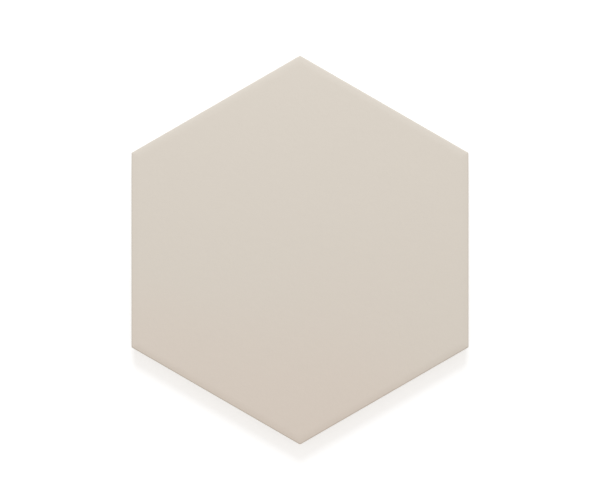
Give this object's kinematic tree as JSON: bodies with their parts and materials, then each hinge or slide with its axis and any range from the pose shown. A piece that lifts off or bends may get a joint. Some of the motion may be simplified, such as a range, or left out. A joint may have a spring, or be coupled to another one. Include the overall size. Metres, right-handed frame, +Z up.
{
  "type": "floor tile",
  "caption": "Regular hexagon ceramic floor tile with a plain matt greige glazed face, cushioned edges and a keyed back for bedding in mortar.",
  "frame": {"origin": "middle of the back, on the surface that the tile lies on", "axes": "+Z up out of the glazed face, +Y towards a corner, +X across two opposite sides"},
  "size_m": [0.1732, 0.2, 0.009],
  "materials": {
    "glazed_body": "matte"
  },
  "bodies": {
    "root": {"hexagon_tile": "glazed_body"}
  },
  "joints": []
}
